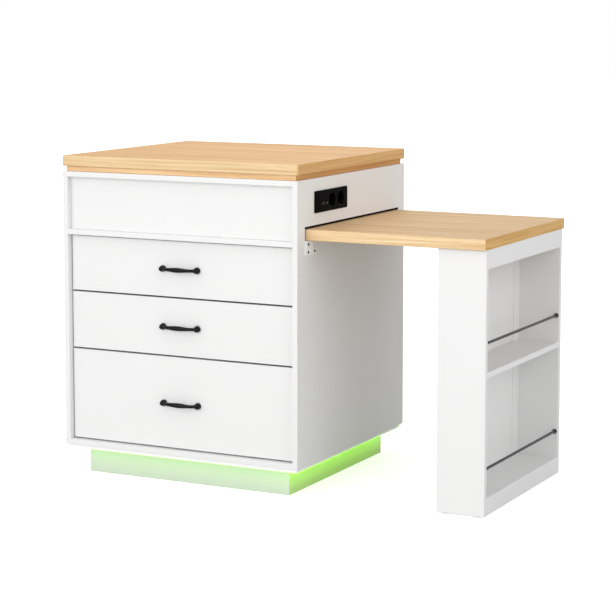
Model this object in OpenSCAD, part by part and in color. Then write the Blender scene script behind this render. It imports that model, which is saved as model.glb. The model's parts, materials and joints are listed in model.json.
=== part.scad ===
// Kitchen island: a drawer cabinet on a lit plinth, with a dining board that
// slides out of a slot in its right side and stands on an open storage rack.
// Built in cabinet coordinates: x from the cabinet's left side, y back from the
// front edges, z up from the floor. unit() then puts the origin at the middle
// of the whole footprint.

/* [Cabinet] */
// Width of the carcass over its side panels
cabinet_w = 750; // [600:10:900]
// Depth of the carcass
cabinet_d = 700; // [640:10:760]
// Height of the worktop above the floor
worktop_h = 920; // [880:10:960]
// Thickness of every white board
board_t = 15; // [15:1:16]
// Thickness of the wooden worktop and of the dining board
slab_t = 30; // [25:1:35]
// Radius of the worktop's upright corners
worktop_corner_r = 8; // [2:1:12]
// How far the worktop stands past the sides, and the top and bottom boards past the left side
overhang = 2; // [1:0.5:4]
// How far the drawer fronts sit back from the front edges
front_recess = 18; // [16:1:22]

/* [Plinth and light] */
// Height of the plinth
plinth_h = 86; // [80:1:100]
// How far the plinth sits back on every side
plinth_inset = 50; // [45:1:70]
// Width of the corner profile that holds the light strip
led_w = 10; // [8:1:12]

/* [Drawers] */
// Height of the drawer fronts, bottom first
front_heights = [258.5, 161, 156.5];
// Gap between two drawer fronts
middle_gap = 5; // [3:0.5:6]
// Gap under the lowest front and over the highest one
front_gap = 4; // [3:0.5:5]
// Depth of the drawer boxes, and length of their slides
box_d = 500; // [450:10:550]
// How far a drawer pulls out
drawer_travel = 450; // [300:10:450]

/* [Handles] */
// Distance between the two screws of a handle
handle_pitch = 110; // [96:1:128]
// How far the grip stands off the drawer front
handle_reach = 27; // [24:1:30]
// Diameter of the round feet
foot_d = 19; // [17:1:22]

/* [Dining board and rack] */
// Width of the dining board, front to back
dining_w = 604; // [560:2:610]
// Length of the dining board
dining_l = 845; // [800:5:860]
// Free length between the cabinet and the rack
knee_w = 384; // [350:1:400]
// Width of the rack, from the cabinet outwards
rack_w = 136; // [120:1:150]
// Depth of the rack, front to back
rack_d = 580; // [540:2:590]
// Height of the rack's middle shelf, at its top face
rack_shelf_z = 386; // [340:1:420]
// Height of the guard rods above the shelves
rod_rise = 76; // [60:1:90]
// Diameter of the guard rods
rod_d = 8; // [6:1:10]

/* [Sockets] */
// Length of the black socket plate
plate_l = 200; // [190:1:210]
// Height of the black socket plate
plate_h = 60; // [56:1:64]
// Diameter of the two plug recesses
recess_d = 39; // [38:0.5:40]

/* [Hidden] */
$fn = 64;

// colours of the finishes
paint_white = [0.93, 0.93, 0.92];
light_wood = [0.87, 0.70, 0.48];
soft_black = [0.07, 0.07, 0.07];
steel = [0.72, 0.72, 0.74];
lime_light = [0.55, 1.0, 0.30];
pale_box = [0.88, 0.88, 0.86];

// levels of the carcass
worktop_z = worktop_h - slab_t;
inset_t = board_t;
inset_z = worktop_z - inset_t;
top_z = inset_z - board_t;
floor_z = plinth_h + board_t;
fronts_z = floor_z + front_gap;
partition_z = fronts_z + front_heights[0] + front_heights[1] + front_heights[2]
    + 2 * middle_gap + front_gap;
slot_z = partition_z + board_t;
inset_slab_margin = 8;
led_margin = 5;
led_lip = 1.5;

// right side, with the slot for the dining board
right_in_x = cabinet_w - board_t;
back_in_y = cabinet_d - board_t;
ext_mid_y = cabinet_d / 2 + 2;
slot_half_w = dining_w / 2 + 5;
slot_y0 = ext_mid_y - slot_half_w;
slot_y1 = ext_mid_y + slot_half_w;

// dining board, with free height under and over it in the slot
dining_clear = 0.6;
dining_headroom = 6.5;
dining_z = slot_z + dining_clear;
slot_top_z = dining_z + slab_t + dining_headroom;
rack_x0 = cabinet_w + knee_w;
rack_x1 = rack_x0 + rack_w;
dining_x1 = rack_x1 + overhang;
dining_x0 = dining_x1 - dining_l;
stop_w = 30;
stop_h = 18;

// rack
glide_h = 3;
rack_y0 = ext_mid_y - rack_d / 2;
rack_y1 = ext_mid_y + rack_d / 2;
rack_in_y0 = rack_y0 + board_t;
rack_in_y1 = rack_y1 - board_t;
rack_rail_h = 51;
rack_base_z = 50;
rack_stile_w = 45;
rod_x = rack_x1 - 9;
rod_levels = [rack_base_z + rod_rise - 1, rack_shelf_z + rod_rise];
rod_sink = 4;

// drawers
slide_gap = 13;
slide_half_h = 22.5;
box_wall = 12;
box_x0 = board_t + slide_gap;
box_x1 = right_in_x - slide_gap;
front_y1 = front_recess + board_t;
box_y1 = front_y1 + box_d;
side_gap = 3;
box_lift = 14;
box_drop = 22;
slide_lift = 46;
bottom_t = 5;
bottom_lift = 8;
groove = 6;
screw_d = 4;
screw_hole_d = 4.6;
screw_bite = 9;

// socket plate
socket_y0 = 101;
socket_z = 810;
socket_depth = 44;
flange = 7;
usb_y0 = 36;
usb_l = 44;
insert_h = 42;
insert_z0 = (plate_h - insert_h) / 2;
pot_y = [103, 157];
pot_floor_t = 12;
recess_depth = 17;
pin_pitch = 19;
pin_hole_d = 5;
plate_t = 4;
plate_corner_r = 3;

// slot brackets: a plate with a tab, and where their screws sit, from the slot's lower corner
bracket_t = 3;
bracket_l = 46;
bracket_h = 40;
bracket_tab_l = 60;
bracket_tab_h = 16;
bracket_screws_at = [[15, 11], [15, 32.5], [53, 32]];
bracket_screw_l = 12;

// cable grommet in the back panel
grommet_x = 120;
grommet_z = 800;
grommet_bore_d = 22;
grommet_body_d = 30;
grommet_flange_d = 38;

// origin: middle of the footprint, on the floor
front_most_y = front_recess - handle_reach;
origin = [(dining_x1 - overhang) / 2, (front_most_y + cabinet_d + overhang) / 2, 0];

function front_z(n) = n == 1 ? fronts_z
    : front_z(n - 1) + front_heights[n - 2] + middle_gap;
function box_z(n) = front_z(n) + box_lift;
function slide_z(n) = front_z(n) + slide_lift;

module unit() {
    translate(-origin) children();
}

// a board given by its low and high corner
module board(low, high) {
    translate(low) cube(high - low);
}

module rounded_rectangle(size, r) {
    union() {
        translate([r, 0]) square([size.x - 2 * r, size.y]);
        translate([0, r]) square([size.x, size.y - 2 * r]);
        for (x = [r, size.x - r], y = [r, size.y - r]) translate([x, y]) circle(r);
    }
}

module along_y(d, length) {
    rotate([-90, 0, 0]) cylinder(d = d, h = length);
}

module along_x(d, length) {
    rotate([0, 90, 0]) cylinder(d = d, h = length);
}

// ---------- cabinet ----------

module worktop_slab() {
    color(light_wood) translate([-overhang, -overhang, worktop_z]) linear_extrude(slab_t)
        rounded_rectangle([cabinet_w + 2 * overhang, cabinet_d + 2 * overhang],
                          worktop_corner_r);
}

module worktop_inset_slab() {
    m = inset_slab_margin;
    color(light_wood)
        board([m, m, inset_z], [cabinet_w - m, cabinet_d - m, worktop_z]);
}

module carcass_top_panel() {
    color(paint_white) board([-overhang, 0, top_z], [right_in_x, back_in_y, inset_z]);
}

module bottom_panel() {
    color(paint_white) board([-overhang, 0, plinth_h], [cabinet_w, cabinet_d, floor_z]);
}

module left_side_panel() {
    color(paint_white) board([0, 0, floor_z], [board_t, back_in_y, top_z]);
}

// the right side reaches up to the wood: a narrow strip at the front, and the panel behind it
module right_front_strip() {
    color(paint_white) board([right_in_x, 0, floor_z], [cabinet_w, board_t, inset_z]);
}

// cut out for the dining board and the socket box, and drilled for the bracket screws
module right_side_panel() {
    past = 1;
    screw_hole_r = 1.7;
    color(paint_white) difference() {
        board([right_in_x, board_t, floor_z], [cabinet_w, back_in_y, inset_z]);
        board([right_in_x - past, slot_y0, slot_z], [cabinet_w + past, slot_y1, slot_top_z]);
        board([right_in_x - past, socket_y0 + flange, socket_z - plate_h / 2 + flange],
              [cabinet_w + past, socket_y0 + plate_l - flange, socket_z + plate_h / 2 - flange]);
        bracket_screw_places() translate([-bracket_screw_l - past, 0, 0])
            along_x(2 * screw_hole_r, bracket_screw_l + 2 * past);
    }
}

// strips that close the gap over the dining board and at its two edges
module slot_seal() {
    play = 0.4;
    x = [right_in_x + 2, cabinet_w - 1.5];
    under_z = dining_z + slab_t + play;
    edge_w = slot_half_w - dining_w / 2 - play;
    color(soft_black) {
        board([x[0], slot_y0, under_z], [x[1], slot_y1, slot_top_z]);
        for (y = [slot_y0, slot_y1 - edge_w])
            board([x[0], y, slot_z], [x[1], y + edge_w, under_z - play]);
    }
}

module partition_shelf() {
    color(paint_white) board([board_t, 0, partition_z], [right_in_x, back_in_y, slot_z]);
}

// covers the rear edges of both sides and of the top board
module back_panel() {
    color(paint_white) difference() {
        board([0, back_in_y, floor_z], [cabinet_w, cabinet_d, inset_z]);
        translate([grommet_x, back_in_y - 1, grommet_z]) along_y(grommet_body_d, board_t + 2);
    }
}

module false_front_panel() {
    color(paint_white)
        board([board_t, front_recess, slot_z], [right_in_x, front_y1, top_z]);
}

// four boards, the short ones butted between the long ones
module plinth_boards() {
    i = plinth_inset;
    butt = 0.1;
    color(paint_white) {
        for (y = [i, cabinet_d - i - board_t])
            board([i, y, 0], [cabinet_w - i, y + board_t, plinth_h]);
        for (x = [i, cabinet_w - i - board_t])
            board([x, i + board_t + butt, 0],
                  [x + board_t, cabinet_d - i - board_t - butt, plinth_h]);
    }
}

// four corner profiles under the bottom board, with their slope facing the plinth
module led_bar(length) {
    rotate([90, 0, 90]) linear_extrude(length)
        polygon([[0, 0], [led_w, 0], [led_w, -led_lip], [led_lip, -led_w], [0, -led_w]]);
}

module led_strip() {
    long_w = cabinet_w - 2 * led_margin;
    long_d = cabinet_d - 2 * (led_margin + led_w) - 0.2;
    color(lime_light) translate([0, 0, plinth_h]) {
        translate([led_margin, led_margin, 0]) led_bar(long_w);
        translate([cabinet_w - led_margin, cabinet_d - led_margin, 0]) rotate(180) led_bar(long_w);
        translate([cabinet_w - led_margin, led_margin + led_w + 0.1, 0]) rotate(90) led_bar(long_d);
        translate([led_margin, cabinet_d - led_margin - led_w - 0.1, 0]) rotate(-90) led_bar(long_d);
    }
}

// a flat driver under the bottom board, with a screw ear at each end
module led_driver() {
    body = [150, 52, 32];
    ear = [12, 32, 6];
    from_back = 190;
    color(soft_black) translate([body[0], cabinet_d - from_back, plinth_h - body[2]]) {
        cube(body);
        translate([-ear[0], (body[1] - ear[1]) / 2, body[2] - ear[2]])
            cube([body[0] + 2 * ear[0], ear[1], ear[2]]);
    }
}

module cable_grommet() {
    color(soft_black) translate([grommet_x, back_in_y, grommet_z]) difference() {
        union() {
            along_y(grommet_body_d, board_t);
            translate([0, board_t, 0]) along_y(grommet_flange_d, overhang);
        }
        translate([0, -1, 0]) along_y(grommet_bore_d, board_t + overhang + 2);
    }
}

// two battens that keep the dining board straight in its compartment
module guide_battens() {
    batten = 15;
    side_play = 1.5;
    color(pale_box) for (y = [ext_mid_y - dining_w / 2 - side_play - batten,
                              ext_mid_y + dining_w / 2 + side_play])
        board([board_t, y, slot_z], [right_in_x - 1, y + batten, slot_z + batten]);
}

// ---------- sockets and ports ----------

// plate coordinates: across is x, up is y, out of the cabinet is z
module on_plate() {
    translate([cabinet_w, socket_y0, socket_z - plate_h / 2])
        rotate([90, 0, 90]) children();
}

// the blank end of the plate carries a low pad with two grooves
module socket_end_pad() {
    pad_w = 27;
    margin = 6;
    groove_w = 2.4;
    translate([margin, margin, plate_t]) difference() {
        cube([pad_w, plate_h - 2 * margin, 1]);
        for (x = [pad_w / 3, 2 * pad_w / 3])
            translate([x - groove_w / 2, -1, 0.2]) cube([groove_w, plate_h, 1]);
    }
}

module socket_faceplate() {
    color(soft_black) on_plate() difference() {
        linear_extrude(plate_t) rounded_rectangle([plate_l, plate_h], plate_corner_r);
        for (x = pot_y) translate([x, plate_h / 2, -1]) cylinder(d = insert_h, h = plate_t + 2);
        translate([usb_y0, insert_z0, -1]) cube([usb_l, insert_h, plate_t + 2]);
    }
    color(soft_black) on_plate() socket_end_pad();
}

// each pot has the plug recess, and two blind pin holes in its floor
module socket_inserts() {
    color(soft_black) on_plate() for (x = pot_y)
        translate([x, plate_h / 2, plate_t - recess_depth - pot_floor_t]) difference() {
            cylinder(d = insert_h, h = recess_depth + pot_floor_t);
            translate([0, 0, pot_floor_t]) cylinder(d = recess_d, h = recess_depth + 1);
            for (s = [-1, 1]) translate([s * pin_pitch / 2, 0, 2])
                cylinder(d = pin_hole_d, h = pot_floor_t);
        }
}

// Two ports side by side, each a slot with its tongue:
// [distance from the module's edge, width, height, tongue thickness]
ports = [[6.4, 13.2, 5.6, 1.8], [32, 9.2, 3.6, 0.8]];
port_drop = 7;
module usb_module() {
    port_depth = 11;
    body_depth = 14;
    tongue_gap = 1.2;
    color(soft_black) on_plate() translate([usb_y0, insert_z0, 0]) {
        difference() {
            translate([0, 0, -body_depth]) cube([usb_l, insert_h, body_depth + plate_t]);
            for (p = ports) translate([p[0], (insert_h - p[2]) / 2 - port_drop, plate_t - port_depth])
                cube([p[1], p[2], port_depth + 1]);
        }
        for (p = ports)
            translate([p[0] + tongue_gap, (insert_h - p[3]) / 2 - port_drop, plate_t - port_depth])
                cube([p[1] - 2 * tongue_gap, p[3], port_depth - 1.5]);
    }
}

module socket_back_box() {
    wall = 1.2;
    size = [plate_l - 2 * flange - 1, plate_h - 2 * flange - 1];
    color([0.25, 0.25, 0.26]) on_plate()
        translate([flange + 0.5, flange + 0.5, -socket_depth]) difference() {
            cube([size[0], size[1], socket_depth]);
            translate([wall, wall, wall])
                cube([size[0] - 2 * wall, size[1] - 2 * wall, socket_depth]);
        }
}

// ---------- slot brackets ----------

// a place for every bracket screw, on the outer face of the right side
module bracket_screw_places() {
    for (s = [0, 1], at = bracket_screws_at)
        translate([cabinet_w, s == 0 ? slot_y0 + at[0] : slot_y1 - at[0], slot_z - at[1]])
            children();
}

module slot_bracket() {
    hole = 4.4;
    rib_t = 2;
    difference() {
        union() {
            cube([bracket_t, bracket_l, bracket_h]);
            cube([bracket_t, bracket_tab_l, bracket_tab_h]);
            // pressed rib that runs down to the tab, between the screws
            translate([bracket_t, 0, 0]) rotate([90, 0, 90]) linear_extrude(rib_t)
                polygon([[2, 22], [2, 28], [44, 6], [44, 2], [40, 2]]);
        }
        for (at = bracket_screws_at)
            translate([-1, at[0], bracket_h - at[1]]) along_x(hole, bracket_t + 2);
    }
}

module slot_brackets() {
    color(paint_white) {
        translate([cabinet_w, slot_y0, slot_z - bracket_h]) slot_bracket();
        translate([cabinet_w, slot_y1, slot_z - bracket_h]) mirror([0, 1, 0]) slot_bracket();
    }
}

module slot_bracket_screws() {
    shank = 3;
    head_d = 7.6;
    head_t = 1.6;
    color([0.3, 0.3, 0.31]) bracket_screw_places() {
        translate([-bracket_screw_l, 0, 0]) along_x(shank, bracket_screw_l + bracket_t);
        translate([bracket_t, 0, 0]) along_x(head_d, head_t);
    }
}

// ---------- drawers ----------

module drawer_front(n) {
    z = front_z(n);
    color(paint_white) difference() {
        board([board_t + side_gap, front_recess, z],
              [right_in_x - side_gap, front_y1, z + front_heights[n - 1]]);
        handle_screw_places(n) translate([0, front_recess - 1, 0]) along_y(screw_hole_d, board_t + 2);
    }
}

module drawer_sides(n) {
    color(pale_box) difference() {
        for (x = [box_x0, box_x1 - box_wall])
            board([x, front_y1, box_z(n)],
                  [x + box_wall, box_y1, front_z(n) + front_heights[n - 1] - box_drop]);
        drawer_bottom_board(n);
    }
}

module drawer_back(n) {
    color(pale_box)
        board([box_x0 + box_wall, box_y1 - box_wall, box_z(n) + bottom_lift + bottom_t],
              [box_x1 - box_wall, box_y1, front_z(n) + front_heights[n - 1] - box_drop]);
}

// the bottom slides into a groove in each side, under the back
module drawer_bottom_board(n) {
    in = box_wall - groove;
    board([box_x0 + in, front_y1, box_z(n) + bottom_lift],
          [box_x1 - in, box_y1, box_z(n) + bottom_lift + bottom_t]);
}

module drawer_bottom(n) {
    color(pale_box) drawer_bottom_board(n);
}

module handle_screw_places(n) {
    for (s = [-1, 1])
        translate([cabinet_w / 2 + s * handle_pitch / 2, 0, handle_z(n)]) children();
}

// the lowest handle sits a little below the middle of its front
low_handle_drop = 3;
function handle_z(n) = front_z(n) + front_heights[n - 1] / 2 - (n == 1 ? low_handle_drop : 0);

module drawer_handle_screws(n) {
    head_h = 2.4;
    color(steel) handle_screw_places(n) {
        translate([0, front_recess - screw_bite, 0]) along_y(screw_d, screw_bite + board_t);
        translate([0, front_y1, 0]) along_y(8, head_h);
    }
}

// The grip follows a flat bow whose ends sink into the feet, and it swells in the middle.
handle_rings = 28;
handle_sides = 16;
grip_end_r = 4.5;
grip_swell = 2.4;
grip_end_out = 9;
grip_mid_out = handle_reach - grip_end_r - grip_swell;
function grip_t(i) = 2 * i / handle_rings - 1;
function grip_x(t) = t * (handle_pitch / 2 - 2);
function grip_y(t) = -grip_mid_out + (grip_mid_out - grip_end_out) * pow(abs(t), 5);
function grip_r(t) = grip_end_r + grip_swell * pow(cos(90 * min(1, abs(t) / 0.75)), 2);
function grip_turn(t) = atan2(grip_y(t + 0.01) - grip_y(t - 0.01), grip_x(t + 0.01) - grip_x(t - 0.01));
function grip_ring(t) = [for (k = [0:handle_sides - 1])
    let (a = 360 * k / handle_sides, r = grip_r(t), b = r * cos(a), h = r * sin(a), w = grip_turn(t))
    [grip_x(t) - b * sin(w), grip_y(t) + b * cos(w), h]];

module handle_grip() {
    points = [for (i = [0:handle_rings]) each grip_ring(grip_t(i))];
    quads = [for (i = [0:handle_rings - 1], k = [0:handle_sides - 1])
        let (k2 = (k + 1) % handle_sides, a = i * handle_sides, b = a + handle_sides)
        each [[a + k, b + k, b + k2], [a + k, b + k2, a + k2]]];
    ends = [[for (k = [0:handle_sides - 1]) k],
            [for (k = [handle_sides - 1:-1:0]) handle_rings * handle_sides + k]];
    polyhedron(points, concat(quads, ends));
}

// a round foot, straight at first, then narrowing towards the grip: [how far inside its rim, height]
foot_steps = [[0.4, 0], [0, 0.8], [0.1, 6], [0.5, 8.5], [1.3, 11], [2.4, 13.5], [3.6, 16],
    [4.9, 18]];
foot_h = 19.2;
module handle_foot() {
    rim = [for (p = foot_steps) [foot_d / 2 - p[0], p[1]]];
    rotate([90, 0, 0]) rotate_extrude() polygon(concat([[0, 0]], rim, [[0, foot_h]]));
}

// both feet and the grip, drilled for the two screws
module drawer_handle(n) {
    color(soft_black) translate([cabinet_w / 2, front_recess, handle_z(n)]) difference() {
        union() {
            for (s = [-1, 1]) translate([s * handle_pitch / 2, 0, 0]) handle_foot();
            handle_grip();
        }
        for (s = [-1, 1]) translate([s * handle_pitch / 2, -screw_bite - 0.5, 0])
            along_y(screw_d + 0.1, screw_bite + 1.5);
    }
}

// One member of a drawer slide: a channel with rolled edges, open to the right.
// back is where its web starts, deep how far its lips reach, half its half height.
module channel(back, deep, half, y0, length) {
    gauge = 1.2;
    translate([back, y0, -half]) {
        cube([gauge, length, 2 * half]);
        cube([deep, length, gauge]);
        translate([0, 0, 2 * half - gauge]) cube([deep, length, gauge]);
    }
}

// left slide at its place, and the same one mirrored at the right side
module both_slides(z) {
    translate([board_t, 0, z]) children();
    translate([right_in_x, 0, z]) mirror([1, 0, 0]) children();
}

slide_y0 = front_y1 + 4;

module cabinet_slide_members() {
    color(steel) for (n = [1:3])
        both_slides(slide_z(n)) channel(0, 9.5, slide_half_h, slide_y0, box_d);
}

module drawer_mid_members(n) {
    color(steel) both_slides(slide_z(n)) channel(2, 9, slide_half_h - 2.6, slide_y0, box_d);
}

module drawer_slide_members(n) {
    half = slide_half_h - 5.4;
    color(steel) both_slides(slide_z(n)) translate([slide_gap, 0, 0]) mirror([1, 0, 0])
        channel(0, 9, half, slide_y0, box_d - 8);
}

// ---------- dining board and rack ----------

module extension_board() {
    color(light_wood)
        board([dining_x0, ext_mid_y - dining_w / 2, dining_z],
              [dining_x1, ext_mid_y + dining_w / 2, dining_z + slab_t]);
}

// rides on the board and meets the right side from inside when the board is out
module extension_stop_batten() {
    x1 = right_in_x - 0.5;
    color(pale_box)
        board([x1 - stop_w, ext_mid_y - dining_w / 2 + 20, dining_z + slab_t],
              [x1, ext_mid_y + dining_w / 2 - 20, dining_z + slab_t + stop_h]);
}

module rack_end_panel(y) {
    board([rack_x0, y, glide_h], [rack_x1, y + board_t, dining_z]);
}

module rod_sockets() {
    for (z = rod_levels)
        translate([rod_x, rack_in_y0 - rod_sink, z])
            along_y(rod_d + 0.1, rack_d - 2 * board_t + 2 * rod_sink);
}

module rack_front_panel() {
    color(paint_white) difference() {
        rack_end_panel(rack_y0);
        rod_sockets();
    }
}

module rack_rear_panel() {
    color(paint_white) difference() {
        rack_end_panel(rack_in_y1);
        rod_sockets();
    }
}

// set in a little from both faces of its stiles
module rack_inner_panel() {
    outer_set_in = 1;
    inner_set_in = 2;
    color(paint_white)
        board([rack_x0 + outer_set_in, rack_in_y0 + rack_stile_w, rack_base_z],
              [rack_x0 + board_t - inner_set_in, rack_in_y1 - rack_stile_w, dining_z]);
}

module rack_inner_stiles() {
    color(paint_white) for (y = [rack_in_y0, rack_in_y1 - rack_stile_w])
        board([rack_x0, y, rack_base_z], [rack_x0 + board_t, y + rack_stile_w, dining_z]);
}

module rack_top_rail() {
    color(paint_white)
        board([rack_x1 - board_t, rack_in_y0, dining_z - rack_rail_h],
              [rack_x1, rack_in_y1, dining_z]);
}

module rack_kick_rail() {
    color(paint_white)
        board([rack_x1 - board_t, rack_in_y0, glide_h], [rack_x1, rack_in_y1, rack_base_z]);
}

module rack_bottom_shelf() {
    color(paint_white)
        board([rack_x0, rack_in_y0, rack_base_z - board_t],
              [rack_x1 - board_t, rack_in_y1, rack_base_z]);
}

module rack_middle_shelf() {
    color(paint_white)
        board([rack_x0 + board_t, rack_in_y0, rack_shelf_z - board_t],
              [rack_x1, rack_in_y1, rack_shelf_z]);
}

module rack_guard_rods() {
    end_play = 0.5;
    color(steel) for (z = rod_levels)
        translate([rod_x, rack_in_y0 - rod_sink + end_play, z])
            along_y(rod_d, rack_d - 2 * board_t + 2 * (rod_sink - end_play));
}

// a small round flange where each rod meets an end panel
module rack_rod_flanges() {
    flange_d = 15;
    flange_t = 3;
    color(steel) for (z = rod_levels, y = [rack_in_y0, rack_in_y1 - flange_t])
        translate([rod_x, y, z]) difference() {
            along_y(flange_d, flange_t);
            translate([0, -1, 0]) along_y(rod_d + 0.1, flange_t + 2);
        }
}

module rack_glides() {
    color([0.8, 0.8, 0.78]) for (x = [rack_x0 + 22, rack_x1 - 22],
                                 y = [rack_y0 + board_t / 2, rack_y1 - board_t / 2])
        translate([x, y, 0]) cylinder(d = 14, h = glide_h);
}

// ---------- every node, one line each ----------

unit() worktop_slab();
unit() worktop_inset_slab();
unit() carcass_top_panel();
unit() left_side_panel();
unit() right_front_strip();
unit() right_side_panel();
unit() slot_seal();
unit() partition_shelf();
unit() bottom_panel();
unit() back_panel();
unit() false_front_panel();
unit() plinth_boards();
unit() led_strip();
unit() led_driver();
unit() socket_faceplate();
unit() socket_back_box();
unit() socket_inserts();
unit() usb_module();
unit() slot_brackets();
unit() slot_bracket_screws();
unit() guide_battens();
unit() cabinet_slide_members();
unit() cable_grommet();
unit() extension_board();
unit() extension_stop_batten();
unit() rack_front_panel();
unit() rack_rear_panel();
unit() rack_inner_panel();
unit() rack_inner_stiles();
unit() rack_top_rail();
unit() rack_kick_rail();
unit() rack_middle_shelf();
unit() rack_bottom_shelf();
unit() rack_guard_rods();
unit() rack_rod_flanges();
unit() rack_glides();
unit() drawer_front(1);  // drawer_1_front
unit() drawer_sides(1);  // drawer_1_sides
unit() drawer_back(1);  // drawer_1_back
unit() drawer_bottom(1);  // drawer_1_bottom
unit() drawer_handle(1);  // drawer_1_handle
unit() drawer_handle_screws(1);  // drawer_1_handle_screws
unit() drawer_slide_members(1);  // drawer_1_slide_members
unit() drawer_mid_members(1);  // drawer_1_mid_members
unit() drawer_front(2);  // drawer_2_front
unit() drawer_sides(2);  // drawer_2_sides
unit() drawer_back(2);  // drawer_2_back
unit() drawer_bottom(2);  // drawer_2_bottom
unit() drawer_handle(2);  // drawer_2_handle
unit() drawer_handle_screws(2);  // drawer_2_handle_screws
unit() drawer_slide_members(2);  // drawer_2_slide_members
unit() drawer_mid_members(2);  // drawer_2_mid_members
unit() drawer_front(3);  // drawer_3_front
unit() drawer_sides(3);  // drawer_3_sides
unit() drawer_back(3);  // drawer_3_back
unit() drawer_bottom(3);  // drawer_3_bottom
unit() drawer_handle(3);  // drawer_3_handle
unit() drawer_handle_screws(3);  // drawer_3_handle_screws
unit() drawer_slide_members(3);  // drawer_3_slide_members
unit() drawer_mid_members(3);  // drawer_3_mid_members
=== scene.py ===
import json
import math
import bmesh
import bpy
from mathutils import Matrix, Vector

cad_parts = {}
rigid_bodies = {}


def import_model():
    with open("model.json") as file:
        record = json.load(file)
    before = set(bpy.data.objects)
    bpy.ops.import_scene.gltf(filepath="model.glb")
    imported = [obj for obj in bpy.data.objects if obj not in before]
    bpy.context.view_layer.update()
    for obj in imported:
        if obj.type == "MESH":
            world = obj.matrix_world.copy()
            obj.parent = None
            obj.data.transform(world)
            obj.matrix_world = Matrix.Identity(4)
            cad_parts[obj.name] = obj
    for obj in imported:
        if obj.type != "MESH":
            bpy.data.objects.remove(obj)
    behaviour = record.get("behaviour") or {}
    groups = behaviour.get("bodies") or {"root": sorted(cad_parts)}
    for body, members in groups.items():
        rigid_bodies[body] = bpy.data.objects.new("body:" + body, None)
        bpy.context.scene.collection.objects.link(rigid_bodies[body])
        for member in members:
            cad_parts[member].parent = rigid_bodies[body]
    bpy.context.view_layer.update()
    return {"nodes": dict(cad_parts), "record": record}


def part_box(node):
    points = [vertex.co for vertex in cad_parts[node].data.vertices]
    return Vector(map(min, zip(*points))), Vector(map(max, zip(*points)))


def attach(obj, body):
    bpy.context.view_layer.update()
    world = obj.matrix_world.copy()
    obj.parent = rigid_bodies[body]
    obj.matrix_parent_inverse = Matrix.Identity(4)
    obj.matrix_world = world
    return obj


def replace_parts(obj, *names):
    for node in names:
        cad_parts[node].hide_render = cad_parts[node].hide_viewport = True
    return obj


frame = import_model()
cadNodes = frame["nodes"]
slotOf = {part["node"]: part["material_slot"] for part in frame["record"]["subparts"]}
mm = 0.001
mergeDistance = 0.002 * mm
quarterTurn = math.pi / 2
print("frame loaded:", len(cadNodes), "nodes")


def newObject(name, data):
    made = bpy.data.objects.new(name, data)
    bpy.context.scene.collection.objects.link(made)
    return made


# small helpers for node trees

def addNode(tree, kind, settings=None, inputs=None):
    node = tree.nodes.new(kind)
    for name, value in (settings or {}).items():
        setattr(node, name, value)
    for name, value in (inputs or {}).items():
        feed(tree, value, node.inputs[name])
    return node


def feed(tree, value, socket):
    # a value is either another node's output or a plain number, vector or colour
    if isinstance(value, bpy.types.NodeSocket):
        tree.links.new(value, socket)
    else:
        socket.default_value = value


def mathNode(tree, operation, a, b=0.0):
    node = addNode(tree, "ShaderNodeMath", {"operation": operation})
    feed(tree, a, node.inputs[0])
    feed(tree, b, node.inputs[1])
    return node.outputs[0]


def newTree(name, kind, inputs, outputs):
    tree = bpy.data.node_groups.new(name, kind)
    for label, socketType, default in inputs:
        socket = tree.interface.new_socket(label, in_out="INPUT", socket_type=socketType)
        if default is not None:
            socket.default_value = default
    for label, socketType in outputs:
        tree.interface.new_socket(label, in_out="OUTPUT", socket_type=socketType)
    return tree, tree.nodes.new("NodeGroupInput").outputs, tree.nodes.new("NodeGroupOutput").inputs


def colourBlend(tree, factor, a, b):
    node = addNode(tree, "ShaderNodeMix", {"data_type": "RGBA"})
    feed(tree, factor, node.inputs[0])
    feed(tree, a, node.inputs[6])
    feed(tree, b, node.inputs[7])
    return node.outputs[2]


def stretched(tree, vector, scale):
    node = addNode(tree, "ShaderNodeVectorMath", {"operation": "MULTIPLY"})
    feed(tree, vector, node.inputs[0])
    feed(tree, scale, node.inputs[1])
    return node.outputs[0]


def brightened(tree, colour, factor):
    node = addNode(tree, "ShaderNodeVectorMath", {"operation": "SCALE"}, {"Scale": factor})
    feed(tree, colour, node.inputs[0])
    return node.outputs[0]


def noise(tree, vector, scale, detail=2.0, roughness=0.5, distortion=0.0):
    node = addNode(tree, "ShaderNodeTexNoise", {"noise_dimensions": "3D"},
                   {"Vector": vector, "Scale": scale, "Detail": detail,
                    "Roughness": roughness, "Distortion": distortion})
    return node.outputs["Fac"]


def grainLayer(tree, vector, layer):
    long = stretched(tree, vector, layer["stretch"])
    return noise(tree, long, 1.0, layer["detail"], layer["roughness"], layer["distortion"])


def spread(tree, value, low, high, newLow, newHigh):
    node = addNode(tree, "ShaderNodeMapRange", {"clamp": True})
    for k, v in enumerate((value, low, high, newLow, newHigh)):
        feed(tree, v, node.inputs[k])
    return node.outputs[0]


def swing(tree, value, amount):
    # a value round one half becomes a change either way, up to half the amount
    return mathNode(tree, "MULTIPLY", amount, mathNode(tree, "SUBTRACT", value, 0.5))


# shader groups that several finishes share

surfaceOutputs = [("Colour", "NodeSocketColor"), ("Roughness", "NodeSocketFloat"),
                  ("Height", "NodeSocketFloat")]
finePattern = {"detail": 3.0, "roughness": 0.6, "broadScale": 5.0}


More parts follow.
